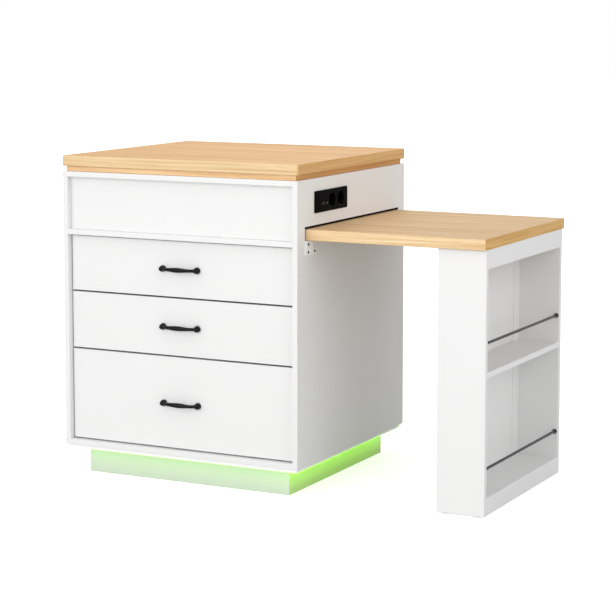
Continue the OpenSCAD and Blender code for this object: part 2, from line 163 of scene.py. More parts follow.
def makeFineGrain():
    # lacquer, powder coat and moulded plastic: a fine skin plus a very broad change of tone
    tree, got, out = newTree("fineGrain", "ShaderNodeTree", [
        ("Vector", "NodeSocketVector", None),
        ("Colour", "NodeSocketColor", (0.8, 0.8, 0.8, 1)),
        ("Grain Size", "NodeSocketFloat", 0.001),
        ("Mottle", "NodeSocketFloat", 0.03),
        ("Roughness", "NodeSocketFloat", 0.4),
        ("Roughness Spread", "NodeSocketFloat", 0.08),
    ], surfaceOutputs)
    perMetre = mathNode(tree, "DIVIDE", 1.0, got["Grain Size"])
    fine = noise(tree, got["Vector"], perMetre, finePattern["detail"], finePattern["roughness"])
    broad = noise(tree, got["Vector"], finePattern["broadScale"])
    bright = mathNode(tree, "ADD", swing(tree, broad, got["Mottle"]), 1.0)
    wobble = swing(tree, fine, got["Roughness Spread"])
    feed(tree, brightened(tree, got["Colour"], bright), out["Colour"])
    feed(tree, mathNode(tree, "ADD", got["Roughness"], wobble), out["Roughness"])
    feed(tree, fine, out["Height"])
    return tree


woodPattern = {
    "bands": {"stretch": (1.1, 26.0, 26.0), "detail": 4.0, "roughness": 0.55, "distortion": 0.5},
    "lines": {"stretch": (2.6, 165.0, 165.0), "detail": 3.0, "roughness": 0.6, "distortion": 0.2},
    "pores": {"stretch": (14.0, 620.0, 620.0), "detail": 2.0, "roughness": 0.5, "distortion": 0.0},
    "bandShare": 0.4, "lineShare": 0.6, "figureFrom": 0.40, "figureTo": 0.60, "staveShift": 7.0,
    "poresFrom": 0.60, "poresTo": 0.72, "poreColour": (0.34, 0.19, 0.08, 1),
    "smoothest": 0.50, "roughest": 0.62,
}


def makeWoodFigure():
    # straight pale grain along the vector's x, in staves across its y
    tree, got, out = newTree("woodFigure", "ShaderNodeTree", [
        ("Vector", "NodeSocketVector", None),
        ("Light", "NodeSocketColor", (0.9, 0.65, 0.38, 1)),
        ("Dark", "NodeSocketColor", (0.75, 0.48, 0.24, 1)),
        ("Stave Width", "NodeSocketFloat", 0.09),
        ("Stave Contrast", "NodeSocketFloat", 0.06),
        ("Pores", "NodeSocketFloat", 0.2),
    ], surfaceOutputs)
    at = addNode(tree, "ShaderNodeSeparateXYZ", None, {"Vector": got["Vector"]}).outputs
    stave = mathNode(tree, "FLOOR", mathNode(tree, "DIVIDE", at["Y"], got["Stave Width"]))
    chance = addNode(tree, "ShaderNodeTexWhiteNoise", {"noise_dimensions": "1D"}, {"W": stave})
    pick = chance.outputs["Value"]
    shiftX = mathNode(tree, "ADD", at["X"], mathNode(tree, "MULTIPLY", pick, woodPattern["staveShift"]))
    joined = addNode(tree, "ShaderNodeCombineXYZ", None, {"X": shiftX, "Y": at["Y"], "Z": at["Z"]})
    moved = joined.outputs[0]
    bands = grainLayer(tree, moved, woodPattern["bands"])
    lines = grainLayer(tree, moved, woodPattern["lines"])
    pores = grainLayer(tree, moved, woodPattern["pores"])
    figure = mathNode(tree, "ADD", mathNode(tree, "MULTIPLY", bands, woodPattern["bandShare"]),
                      mathNode(tree, "MULTIPLY", lines, woodPattern["lineShare"]))
    blend = spread(tree, figure, woodPattern["figureFrom"], woodPattern["figureTo"], 0.0, 1.0)
    poreMask = mathNode(tree, "MULTIPLY", got["Pores"],
                        spread(tree, pores, woodPattern["poresFrom"], woodPattern["poresTo"], 0.0, 1.0))
    plain = colourBlend(tree, blend, got["Light"], got["Dark"])
    pored = colourBlend(tree, poreMask, plain, woodPattern["poreColour"])
    bright = mathNode(tree, "ADD", swing(tree, pick, got["Stave Contrast"]), 1.0)
    rough = spread(tree, lines, 0.3, 0.7, woodPattern["smoothest"], woodPattern["roughest"])
    feed(tree, brightened(tree, pored, bright), out["Colour"])
    feed(tree, rough, out["Roughness"])
    feed(tree, mathNode(tree, "SUBTRACT", lines, poreMask), out["Height"])
    return tree


drawnPattern = {
    "streaks": {"stretch": (900.0, 9.0, 900.0), "detail": 3.0, "roughness": 0.6, "distortion": 0.0},
    "patchScale": 22.0, "darkest": 0.94, "lightest": 1.04,
}


def makeDrawnMetal():
    # rolled, drawn or brushed metal: fine streaks along the vector's y
    tree, got, out = newTree("drawnMetal", "ShaderNodeTree", [
        ("Vector", "NodeSocketVector", None),
        ("Colour", "NodeSocketColor", (0.6, 0.6, 0.62, 1)),
        ("Roughness", "NodeSocketFloat", 0.3),
        ("Streaks", "NodeSocketFloat", 0.12),
    ], surfaceOutputs)
    streak = grainLayer(tree, got["Vector"], drawnPattern["streaks"])
    patch = noise(tree, got["Vector"], drawnPattern["patchScale"])
    tone = spread(tree, patch, 0.2, 0.8, drawnPattern["darkest"], drawnPattern["lightest"])
    wobble = swing(tree, streak, got["Streaks"])
    feed(tree, brightened(tree, got["Colour"], tone), out["Colour"])
    feed(tree, mathNode(tree, "ADD", got["Roughness"], wobble), out["Roughness"])
    feed(tree, streak, out["Height"])
    return tree


shaderGroups = {"fineGrain": makeFineGrain(), "woodFigure": makeWoodFigure(), "drawnMetal": makeDrawnMetal()}
print("shader groups made:", len(shaderGroups))


def makeFinish(name, group, values, shader, relief, turn=(0, 0, 0), offset=(0, 0, 0)):
    finish = bpy.data.materials.new(name)
    finish.use_nodes = True
    tree = finish.node_tree
    surface = tree.nodes["Principled BSDF"].inputs
    for socket, value in shader.items():
        surface[socket].default_value = value
    place = addNode(tree, "ShaderNodeTexCoord").outputs["Object"]
    mapping = addNode(tree, "ShaderNodeMapping", None,
                      {"Vector": place, "Rotation": turn, "Location": offset})
    effect = addNode(tree, "ShaderNodeGroup", {"node_tree": shaderGroups[group]}, values)
    feed(tree, mapping.outputs[0], effect.inputs["Vector"])
    bump = addNode(tree, "ShaderNodeBump", None,
                   {"Height": effect.outputs["Height"], "Distance": relief, "Strength": 1.0})
    feed(tree, effect.outputs["Colour"], surface["Base Color"])
    feed(tree, effect.outputs["Roughness"], surface["Roughness"])
    feed(tree, bump.outputs[0], surface["Normal"])
    return finish


# the sizes of the grain and of its relief are in mm, and rough is the roughness and its spread
coatings = {
    "white_board": {"name": "whiteLacquer", "colour": (0.80, 0.80, 0.795), "grain": 1.2, "mottle": 0.02,
                    "rough": (0.42, 0.10), "relief": 0.03, "shader": {"IOR": 1.45}},
    # the plinth's colours hold painted green light from the strip: the front a pale painted glow, the right
    # side a deeper painted glow with painted shade
    "plinth_board": {"name": "plinthLaminate", "colour": (0.64, 0.68, 0.62), "grain": 1.2, "mottle": 0.03,
                     "rough": (0.42, 0.10), "relief": 0.03, "shader": {"IOR": 1.45}},
    "plinth_side": {"name": "plinthLaminateSide", "colour": (0.53, 0.60, 0.34), "grain": 1.2, "mottle": 0.03,
                    "rough": (0.42, 0.10), "relief": 0.03, "shader": {"IOR": 1.45}},
    "drawer_board": {"name": "whiteFoil", "colour": (0.74, 0.74, 0.73), "grain": 3.0, "mottle": 0.03,
                     "rough": (0.55, 0.10), "relief": 0.05, "shader": {"IOR": 1.45}},
    "black_handle": {"name": "blackPowderCoat", "colour": (0.004, 0.004, 0.004), "grain": 0.7, "mottle": 0.2,
                     "rough": (0.30, 0.12), "relief": 0.06, "shader": {"Specular IOR Level": 0.17}},
    # a black seal strip set where the slot gap is only in shade: a painted shadow
    "seal_black_painted_shade": {"name": "blackRubber", "colour": (0.004, 0.004, 0.004), "grain": 1.2, "mottle": 0.1,
                    "rough": (0.7, 0.1), "relief": 0.04, "shader": {"Specular IOR Level": 0.05}},
    "socket_black": {"name": "glossBlackPlastic", "colour": (0.003, 0.003, 0.003), "grain": 0.6,
                     "mottle": 0.15, "rough": (0.26, 0.08), "relief": 0.02,
                     "shader": {"Specular IOR Level": 0.015}},
    "black_plastic": {"name": "mattBlackPlastic", "colour": (0.018, 0.018, 0.018), "grain": 0.8,
                      "mottle": 0.2, "rough": (0.58, 0.14), "relief": 0.06,
                      "shader": {"Specular IOR Level": 0.35}},
    "white_metal": {"name": "whitePowderCoat", "colour": (0.95, 0.95, 0.95), "grain": 0.7, "mottle": 0.04,
                    "rough": (0.30, 0.14), "relief": 0.04, "shader": {"IOR": 1.6}},
    "glide_plastic": {"name": "mattWhitePlastic", "colour": (0.62, 0.62, 0.60), "grain": 0.8, "mottle": 0.08,
                      "rough": (0.5, 0.12), "relief": 0.04, "shader": {"IOR": 1.5}},
    "light_strip": {"name": "litDiffuser", "colour": (0.60, 0.80, 0.40), "grain": 2.0, "mottle": 0.05,
                    "rough": (0.5, 0.1), "relief": 0.03,
                    "shader": {"Emission Color": (0.36, 1.0, 0.02, 1), "Emission Strength": 4.2}},
    "strong_light_strip": {"name": "litDiffuserSide", "colour": (0.60, 0.80, 0.40), "grain": 2.0,
                           "mottle": 0.05, "rough": (0.5, 0.1), "relief": 0.03,
                           "shader": {"Emission Color": (0.36, 1.0, 0.0, 1), "Emission Strength": 11.5}},
}
metals = {
    "slide_steel": {"name": "zincPlate", "colour": (0.62, 0.63, 0.65), "rough": 0.34, "streaks": 0.16,
                    "relief": 0.02},
    "ball_steel": {"name": "ballSteel", "colour": (0.70, 0.71, 0.73), "rough": 0.14, "streaks": 0.04,
                   "relief": 0.01},
    "screws": {"name": "darkZinc", "colour": (0.022, 0.022, 0.023), "rough": 0.34, "streaks": 0.10,
               "relief": 0.02},
    "rod_chrome": {"name": "polishedRod", "colour": (0.05, 0.05, 0.052), "rough": 0.18, "streaks": 0.05,
                   "relief": 0.01},
    "flange_chrome": {"name": "polishedFlange", "colour": (0.24, 0.24, 0.245), "rough": 0.16,
                      "streaks": 0.05, "relief": 0.01},
    "port_metal": {"name": "nickelPlate", "colour": (0.62, 0.61, 0.58), "rough": 0.28, "streaks": 0.08,
                   "relief": 0.01},
}
# the same wood takes a different tone on each board and on each of its sides: painted light and shade, each
# face lighter or darker by how the light falls on it, with a blended tone on the worktop's rounded corner
wood = {"light": (0.93, 0.625, 0.32), "dark": (0.76, 0.45, 0.19), "staveWidth": 0.088, "staveContrast": 0.05,
        "pores": 0.3, "gloss": 0.14, "relief": 0.08, "boardShift": 0.3}
woodPaintedLightShade = {
    "worktop_slab": {"side": (0.90, 1.02, 1.18), "top": (0.93, 0.87, 0.81), "end": (0.77, 0.72, 0.61),
                     "corner": (0.88, 0.90, 0.90)},
    "worktop_inset_slab": {"side": (1.00, 1.08, 1.24), "top": (0.92, 0.88, 0.81), "end": (0.70, 0.60, 0.46)},
    "extension_board": {"side": (0.98, 1.12, 1.36), "top": (0.815, 0.86, 0.95), "end": (0.78, 0.74, 0.58)},
}


def woodFinish(name, tint, turn, offset):
    light, dark = [(*[tone * part for tone, part in zip(wood[shade], tint)], 1)
                   for shade in ("light", "dark")]
    return makeFinish(name, "woodFigure", {
        "Light": light, "Dark": dark, "Stave Width": wood["staveWidth"],
        "Stave Contrast": wood["staveContrast"], "Pores": wood["pores"],
    }, {"Specular IOR Level": wood["gloss"]}, wood["relief"] * mm, turn, offset)


finishes = {}
for slot, look in coatings.items():
    finishes[slot] = makeFinish(look["name"], "fineGrain", {
        "Colour": (*look["colour"], 1), "Grain Size": look["grain"] * mm, "Mottle": look["mottle"],
        "Roughness": look["rough"][0], "Roughness Spread": look["rough"][1],
    }, look["shader"], look["relief"] * mm)
for slot, look in metals.items():
    finishes[slot] = makeFinish(look["name"], "drawnMetal", {
        "Colour": (*look["colour"], 1), "Roughness": look["rough"], "Streaks": look["streaks"],
    }, {"Metallic": 1.0}, look["relief"] * mm)
for number, (board, tints) in enumerate(woodPaintedLightShade.items()):
    for side, tint in tints.items():
        turned = (0, 0, quarterTurn if side == "end" else 0)     # the grain turns at the two ends
        offset = (wood["boardShift"] * number, 0.1, 0.2)
        finishes[f"{board}_{side}"] = woodFinish(f"wood_{board}_{side}", tint, turned, offset)
print("finishes made:", len(finishes))


def newPiece(name, mesh, body):
    piece = newObject(name, mesh)
    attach(piece, body)
    return piece


def paint(mesh, names, choose=None):
    # choose says which of the named finishes a face takes
    mesh.materials.clear()
    for name in names:
        mesh.materials.append(finishes[name])
    for face in mesh.polygons:
        face.material_index = choose(face) if choose else 0


def flatten(piece):
    # the evaluated shape becomes a plain mesh
    graph = bpy.context.evaluated_depsgraph_get()
    mesh = bpy.data.meshes.new_from_object(piece.evaluated_get(graph), depsgraph=graph)
    piece.modifiers.clear()
    piece.data = mesh
    return mesh


def smoothSides(mesh, degrees):
    mesh.polygons.foreach_set("use_smooth", [True] * len(mesh.polygons))
    mesh.set_sharp_from_angle(angle=math.radians(degrees))


def toMesh(shape, name):
    mesh = bpy.data.meshes.new(name)
    shape.to_mesh(mesh)
    shape.free()
    return mesh


def lathe(profile, segments):
    # profile: (radius, height) pairs from the axis round to the axis again, along +Z
    shape = bmesh.new()
    turns = [2 * math.pi * k / segments for k in range(segments)]
    rings = []
    for radius, height in profile:
        if radius < 1e-7:
            rings.append([shape.verts.new((0, 0, height))])
        else:
            rings.append([shape.verts.new((radius * math.cos(a), radius * math.sin(a), height))
                          for a in turns])
    for low, high in zip(rings, rings[1:]):
        for k in range(segments):
            n = (k + 1) % segments
            corners = [low[k % len(low)], low[n % len(low)], high[n % len(high)], high[k % len(high)]]
            shape.faces.new(list(dict.fromkeys(corners)))
    bmesh.ops.recalc_face_normals(shape, faces=shape.faces)
    return shape


def mergedCopy(node):
    shape = bmesh.new()
    shape.from_mesh(cadNodes[node].data)
    bmesh.ops.remove_doubles(shape, verts=shape.verts, dist=mergeDistance)
    return shape


# boards and other flat pieces keep the CAD shape, with their edges rounded

# radii in mm; an edge is rounded where its faces meet at more than sharpAngle, in degrees
edges = {"board": 0.7, "slideMember": 0.35, "segments": 2, "flatAngle": 0.5, "sharpAngle": 55,
         "creaseAngle": 44}
edgeRadius = {
    "drawer_1_front": 0.25, "drawer_2_front": 0.25, "drawer_3_front": 0.25,
    "worktop_slab": 2.4, "worktop_inset_slab": 1.6, "extension_board": 2.4,
    "slot_brackets": 0.5, "slot_seal": 0.4,
    "socket_faceplate": 0.8, "socket_inserts": 0.6, "usb_module": 0.4, "socket_back_box": 0.3,
    "led_driver": 1.2, "led_strip": 0.4, "cable_grommet": 0.6,
    "rack_rod_flanges": 0.7, "rack_guard_rods": 0.6, "rack_glides": 0.6,
}
# the slot seal takes the black of the painted shadow in the slot gap
ownFinish = {"slot_seal": "seal_black_painted_shade", "rack_rod_flanges": "flange_chrome"}
litByStrip = bpy.data.collections.new("lit_by_strip")   # the strip's light falls on these pieces only
# how far a face's normal leans, and the least area in square mm of a face that shines
faceTest = {"squareOn": 0.72, "atCorner": 0.25, "towardsRight": 0.5, "slopeFrom": -0.95, "slopeTo": -0.35,
            "shiningArea": 100}


# right-facing plinth faces take the side colour, with its painted glow and painted shade
def plinthFace(face):
    return 1 if face.normal.x > faceTest["towardsRight"] else 0


# each face picks the wood finish with the painted light or painted shade for the way it faces
def woodFace(face):
    if abs(face.normal.x) > faceTest["squareOn"]:
        return 2
    return 1 if abs(face.normal.z) > faceTest["squareOn"] else 0


def worktopFace(face):
    lean = min(abs(face.normal.x), abs(face.normal.y))
    return 3 if lean > faceTest["atCorner"] else woodFace(face)


def stripFace(face):
    # the sloped faces shine, and more strongly on the right side's strip
    sloped = faceTest["slopeFrom"] < face.normal.z < faceTest["slopeTo"]
    if not sloped or face.area <= faceTest["shiningArea"] * mm * mm:
        return 0
    return 2 if face.normal.x < -faceTest["towardsRight"] else 1


faceChoice = {"worktop_slab": worktopFace, "worktop_inset_slab": woodFace, "extension_board": woodFace}
severalFinishes = {board: ([f"{board}_{side}" for side in tints], faceChoice[board])
                   for board, tints in woodPaintedLightShade.items()}
severalFinishes["plinth_boards"] = (["plinth_board", "plinth_side"], plinthFace)
severalFinishes["led_strip"] = (["white_metal", "light_strip", "strong_light_strip"], stripFace)


def softened(node):
    usual = edges["slideMember"] if node.endswith("_members") else edges["board"]
    shape = mergedCopy(node)
    bmesh.ops.dissolve_limit(shape, angle_limit=math.radians(edges["flatAngle"]),
                             verts=shape.verts, edges=shape.edges)
    limit = math.radians(edges["sharpAngle"])
    sharp = [e for e in shape.edges if e.is_manifold and e.calc_face_angle(0) > limit]
    bmesh.ops.bevel(shape, geom=sharp, offset=edgeRadius.get(node, usual) * mm, segments=edges["segments"],
                    profile=0.5, affect="EDGES", clamp_overlap=True)
    return shape


def evenNormals(mesh, name):
    # flat faces keep flat shading while the small rounded edges shade smoothly
    smoothSides(mesh, edges["creaseAngle"])
    helper = newObject(name, mesh)
    weighted = helper.modifiers.new("weighted", "WEIGHTED_NORMAL")
    weighted.keep_sharp = True
    flat = flatten(helper)
    bpy.data.objects.remove(helper)
    return flat


def bodyOf(node):
    for body, members in frame["record"]["behaviour"]["bodies"].items():
        if node in members:
            return body


def addSoftened(node):
    mesh = evenNormals(toMesh(softened(node), node + "_finished"), node + "_helper")
    slot = slotOf[node]
    names, choose = severalFinishes.get(node, ([ownFinish.get(node, slot)], None))
    paint(mesh, names, choose)
    piece = newPiece(node + "_finished", mesh, bodyOf(node))
    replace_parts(piece, node)
    if node == "led_strip":
        piece.light_linking.receiver_collection = litByStrip
    if node in ("plinth_boards", "bottom_panel"):
        litByStrip.objects.link(piece)


remade = ["slot_bracket_screws"] + [f"drawer_{n}_{part}" for n in (1, 2, 3)
                                    for part in ("handle", "handle_screws")]
for node in sorted(cadNodes):
    if node not in remade:
        addSoftened(node)
print("boards finished:", len(cadNodes) - len(remade))


def makeScatter():
    # one copy of Piece at each vertex, turned by Turn and then by a random angle on its own axis
    tree, got, out = newTree("scatterAtPoints", "GeometryNodeTree", [
        ("Geometry", "NodeSocketGeometry", None),
        ("Piece", "NodeSocketObject", None),
        ("Turn", "NodeSocketVector", (0, 0, 0)),
        ("Loose Turn", "NodeSocketFloat", 0.0),
        ("Seed", "NodeSocketInt", 1),
        ("Finish", "NodeSocketMaterial", None),
    ], [("Geometry", "NodeSocketGeometry")])
    shown = addNode(tree, "GeometryNodeObjectInfo", None, {"Object": got["Piece"]})
    placed = addNode(tree, "GeometryNodeInstanceOnPoints", None, {
        "Points": got["Geometry"], "Instance": shown.outputs["Geometry"], "Rotation": got["Turn"]})
    loose = addNode(tree, "FunctionNodeRandomValue", {"data_type": "FLOAT"}, {"Seed": got["Seed"]})
    feed(tree, 0.0, loose.inputs[2])
    feed(tree, got["Loose Turn"], loose.inputs[3])
    spin = addNode(tree, "ShaderNodeCombineXYZ", None, {"Z": loose.outputs[1]})
    turned = addNode(tree, "GeometryNodeRotateInstances", None, {
        "Instances": placed.outputs[0], "Rotation": spin.outputs[0], "Local Space": True})
    real = addNode(tree, "GeometryNodeRealizeInstances")
    feed(tree, turned.outputs[0], real.inputs[0])
    painted = addNode(tree, "GeometryNodeSetMaterial", None,
                      {"Geometry": real.outputs[0], "Material": got["Finish"]})
    feed(tree, painted.outputs[0], out["Geometry"])
    return tree


# sizes in mm; the foot's profile gives its radius at each height over the drawer front
handle = {"reach": 27.0, "belly": 6.9, "neck": 4.5, "drop": 11.1, "footRadius": 9.5,
          "foot": [(0, 0), (9.1, 0), (9.5, 0.8), (9.4, 6.0), (9.0, 8.5), (8.2, 11.0), (7.1, 13.5),
                   (5.9, 16.0), (4.6, 18.0), (0, 19.2)],
          "gripPoints": 61, "ringPoints": 32, "footPoints": 48, "endInset": 2.0, "bendPower": 5.0,
          "bellyShare": 0.75, "voxel": 0.6, "smoothing": 4, "creaseAngle": 80}


def makeGrip():
    # a bowed spindle: Pitch between its feet, thick in the middle and bending down to the front at its ends
    tree, got, out = newTree("bowedGrip", "GeometryNodeTree", [
        ("Geometry", "NodeSocketGeometry", None),
        ("Pitch", "NodeSocketFloat", 0.11),
        ("Reach", "NodeSocketFloat", 0.027),
        ("Belly Radius", "NodeSocketFloat", 0.0065),
        ("Neck Radius", "NodeSocketFloat", 0.004),
        ("Drop", "NodeSocketFloat", 0.015),
        ("Finish", "NodeSocketMaterial", None),
    ], [("Geometry", "NodeSocketGeometry")])
    line = addNode(tree, "GeometryNodeCurvePrimitiveLine", None, {"Start": (-1, 0, 0), "End": (1, 0, 0)})
    fine = addNode(tree, "GeometryNodeResampleCurve", None,
                   {"Curve": line.outputs[0], "Count": handle["gripPoints"]})
    along = addNode(tree, "GeometryNodeSplineParameter").outputs["Factor"]
    t = mathNode(tree, "SUBTRACT", mathNode(tree, "MULTIPLY", along, 2.0), 1.0)   # from -1 to 1
    side = mathNode(tree, "ABSOLUTE", t)
    half = mathNode(tree, "SUBTRACT", mathNode(tree, "MULTIPLY", got["Pitch"], 0.5), handle["endInset"] * mm)
    x = mathNode(tree, "MULTIPLY", t, half)
    fall = mathNode(tree, "MULTIPLY", got["Drop"], mathNode(tree, "POWER", side, handle["bendPower"]))
    y = mathNode(tree, "ADD", mathNode(tree, "SUBTRACT", got["Belly Radius"], got["Reach"]), fall)
    spot = addNode(tree, "ShaderNodeCombineXYZ", None, {"X": x, "Y": y})
    moved = addNode(tree, "GeometryNodeSetPosition", None,
                    {"Geometry": fine.outputs[0], "Position": spot.outputs[0]})
    near = mathNode(tree, "MINIMUM", mathNode(tree, "DIVIDE", side, handle["bellyShare"]), 1.0)
    cosine = mathNode(tree, "COSINE", mathNode(tree, "MULTIPLY", near, quarterTurn))
    extra = mathNode(tree, "MULTIPLY", mathNode(tree, "SUBTRACT", got["Belly Radius"], got["Neck Radius"]),
                     mathNode(tree, "POWER", cosine, 2.0))
    thick = addNode(tree, "GeometryNodeSetCurveRadius", None, {
        "Curve": moved.outputs[0], "Radius": mathNode(tree, "ADD", got["Neck Radius"], extra)})
    ring = addNode(tree, "GeometryNodeCurvePrimitiveCircle", {"mode": "RADIUS"},
                   {"Resolution": handle["ringPoints"], "Radius": 1.0})
    radius = addNode(tree, "GeometryNodeInputRadius")
    tube = addNode(tree, "GeometryNodeCurveToMesh", None, {
        "Curve": thick.outputs[0], "Profile Curve": ring.outputs[0], "Scale": radius.outputs[0],
        "Fill Caps": True})
    real = addNode(tree, "GeometryNodeRealizeInstances")
    feed(tree, tube.outputs[0], real.inputs[0])
    painted = addNode(tree, "GeometryNodeSetMaterial", None,
                      {"Geometry": real.outputs[0], "Material": got["Finish"]})
    feed(tree, painted.outputs[0], out["Geometry"])
    return tree


trees = {"scatter": makeScatter(), "grip": makeGrip()}
print("geometry node trees made:", len(trees))


def runTree(name, points, treeName, values):
    # points are the vertices that the tree works on; the result is a plain mesh
    mesh = bpy.data.meshes.new(name)
    mesh.from_pydata([tuple(p) for p in points], [], [])
    host = newObject(name + "_host", mesh)
    modifier = host.modifiers.new("nodes", "NODES")
    modifier.node_group = trees[treeName]
    for item in trees[treeName].interface.items_tree:
        if item.item_type == "SOCKET" and item.in_out == "INPUT" and item.name in values:
            modifier[item.identifier] = values[item.name]
    result = flatten(host)
    bpy.data.objects.remove(host)
    return result


def master(name, shape):
    # a shape that is only ever instanced; those left at the end are removed by this ending of their names
    return newObject(name + "_master", toMesh(shape, name))


# sizes in mm for a head of this radius; the dome gives shares of the radius and of the height
screwHead = {"radius": 4.0, "slotLong": 4.4, "slotWide": 0.95, "slotDeep": 1.5, "segments": 24,
             "dome": [(0, 0), (0.97, 0), (1, 0.25), (0.94, 0.55), (0.74, 0.84), (0.4, 0.97), (0, 1)],
             "creaseAngle": 40}


def makeCrossHead(name, radius, height):
    # a low dome with a cross sunk into it, axis along +Z, standing on z = 0
    scale = radius / screwHead["radius"] * mm
    profile = [(r * radius * mm, h * height * mm) for r, h in screwHead["dome"]]
    head = master(name, lathe(profile, screwHead["segments"]))
    size = (screwHead["slotLong"] * scale, screwHead["slotWide"] * scale, screwHead["slotDeep"] * mm)
    cutter = bmesh.new()
    for turn in (0, quarterTurn):
        lifted = Matrix.Translation((0, 0, height * mm)) @ Matrix.Rotation(turn, 4, "Z")
        bmesh.ops.create_cube(cutter, size=1.0, matrix=lifted @ Matrix.Diagonal((*size, 1)))
    knife = master(name + "_cutter", cutter)
    cut = head.modifiers.new("cross", "BOOLEAN")
    cut.operation = "DIFFERENCE"
    cut.solver = "EXACT"
    cut.use_self = True
    cut.object = knife
    flatten(head)
    smoothSides(head.data, screwHead["creaseAngle"])
    bpy.data.objects.remove(knife)
    return head


def addScattered(name, piece, points, turn, body, slot="screws", looseTurn=math.pi, seed=3, finish=None):
    mesh = runTree(name, points, "scatter", {
        "Piece": piece, "Turn": turn, "Loose Turn": looseTurn, "Seed": seed,
        "Finish": finishes[finish or slot]})
    return newPiece(name, mesh, body)


towardsBack = (-quarterTurn, 0, 0)      # turns that point a master's +Z to the back or to the right
towardsRight = (0, quarterTurn, 0)
panHead = makeCrossHead("pan_head", 3.8, 1.6)
smallHead = makeCrossHead("small_head", 2.6, 1.1)


def addHandle(n):
    low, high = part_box(f"drawer_{n}_handle")
    middle = (low + high) / 2
    wallY = high.y
    pitch = (high.x - low.x) - 2 * handle["footRadius"] * mm
    grip = runTree(f"grip_{n}", [(0, 0, 0)], "grip", {
        "Pitch": pitch, "Reach": handle["reach"] * mm, "Belly Radius": handle["belly"] * mm,
        "Neck Radius": handle["neck"] * mm, "Drop": handle["drop"] * mm, "Finish": finishes["black_handle"]})
    shape = bmesh.new()
    shape.from_mesh(grip)
    foot = toMesh(lathe([(r * mm, h * mm) for r, h in handle["foot"]], handle["footPoints"]), "foot")
    for side in (-1, 1):
        placed = foot.copy()
        placed.transform(Matrix.Translation((side * pitch / 2, 0, 0)) @ Matrix.Rotation(quarterTurn, 4, "X"))
        shape.from_mesh(placed)
    bmesh.ops.translate(shape, verts=shape.verts, vec=(middle.x, wallY, middle.z))
    cast = newObject(f"handle_cast_{n}", toMesh(shape, f"handle_cast_{n}"))
    blended = cast.modifiers.new("blend", "REMESH")   # one casting: the grip grows out of its feet
    blended.mode = "VOXEL"
    blended.voxel_size = handle["voxel"] * mm
    soft = cast.modifiers.new("soft", "SMOOTH")
    soft.iterations = handle["smoothing"]
    soft.factor = 0.5
    mesh = flatten(cast)
    bpy.data.objects.remove(cast)
    for vertex in mesh.vertices:                      # the feet stay flat on the drawer front
        vertex.co.y = min(vertex.co.y, wallY)
    smoothSides(mesh, handle["creaseAngle"])
    paint(mesh, ["black_handle"])
    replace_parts(newPiece(f"drawer_{n}_pull", mesh, f"drawer_{n}"), f"drawer_{n}_handle")
    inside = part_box(f"drawer_{n}_front")[1].y
    points = [(middle.x + side * pitch / 2, inside, middle.z) for side in (-1, 1)]
    heads = addScattered(f"drawer_{n}_handle_screw_heads", panHead, points, towardsBack, f"drawer_{n}")
    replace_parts(heads, f"drawer_{n}_handle_screws")


for n in (1, 2, 3):
    addHandle(n)
print("handles made")


def looseBoxes(node):
    # the low and high corner of each separate solid of a CAD node
    shape = mergedCopy(node)
    left = set(shape.verts)
    boxes = []
    while left:
        found = {left.pop()}
        edge = list(found)
        while edge:
            near = {e.other_vert(v) for v in edge for e in v.link_edges} & left
            left -= near
            found |= near
            edge = list(near)
        places = [v.co for v in found]
        boxes.append((Vector(map(min, zip(*places))), Vector(map(max, zip(*places)))))
    shape.free()
    return sorted(boxes, key=lambda box: tuple(box[0]))


bracketScrew = {"headHeight": 1.6, "seed": 11}


def addBracketScrews():
    places = [(high.x - bracketScrew["headHeight"] * mm, (low.y + high.y) / 2, (low.z + high.z) / 2)
              for low, high in looseBoxes("slot_bracket_screws")]
    heads = addScattered("slot_bracket_screw_heads", panHead, places, towardsRight, "cabinet",
                         seed=bracketScrew["seed"])
    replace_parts(heads, "slot_bracket_screws")
    print("bracket screws:", len(places))


backScrews = {"fromEdge": 7.5, "acrossCount": 4, "upCount": 4, "seed": 5}


def evenly(low, high, count):
    return [low + (high - low) * k / (count - 1) for k in range(count)]


def addBackScrews():
    low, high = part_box("back_panel")
    inset = backScrews["fromEdge"] * mm
    across = evenly(low.x + inset, high.x - inset, backScrews["acrossCount"])
    up = evenly(low.z + inset, high.z - inset, backScrews["upCount"])
    rim = {(x, z) for x in across for z in up if x in (across[0], across[-1]) or z in (up[0], up[-1])}
    points = [(x, high.y, z) for x, z in sorted(rim)]
    addScattered("back_panel_screw_heads", smallHead, points, towardsBack, "cabinet",
                 seed=backScrews["seed"])


addBracketScrews()
addBackScrews()


# sizes in mm: how far a row of balls is over or under the middle member's axis, in from its web and
# back from its front end
balls = {"outer": {"diameter": 1.3, "lift": 20.6, "inwards": 6.2, "from": 235.0},
         "inner": {"diameter": 1.5, "lift": 17.9, "inwards": 8.0, "from": 8.0},
         "pitch": 19.0, "count": 14, "segments": 10, "rings": 6}


def makeBall(name, diameter):
    radius = diameter / 2 * mm
    rings = balls["rings"]
    rise = [math.pi * k / rings for k in range(rings + 1)]
    profile = [(0 if k in (0, rings) else radius * math.sin(a), -radius * math.cos(a))
               for k, a in enumerate(rise)]
    ball = master(name, lathe(profile, balls["segments"]))
    smoothSides(ball.data, 180)
    return ball


ballMasters = {row: makeBall(row + "_ball", balls[row]["diameter"]) for row in ("outer", "inner")}


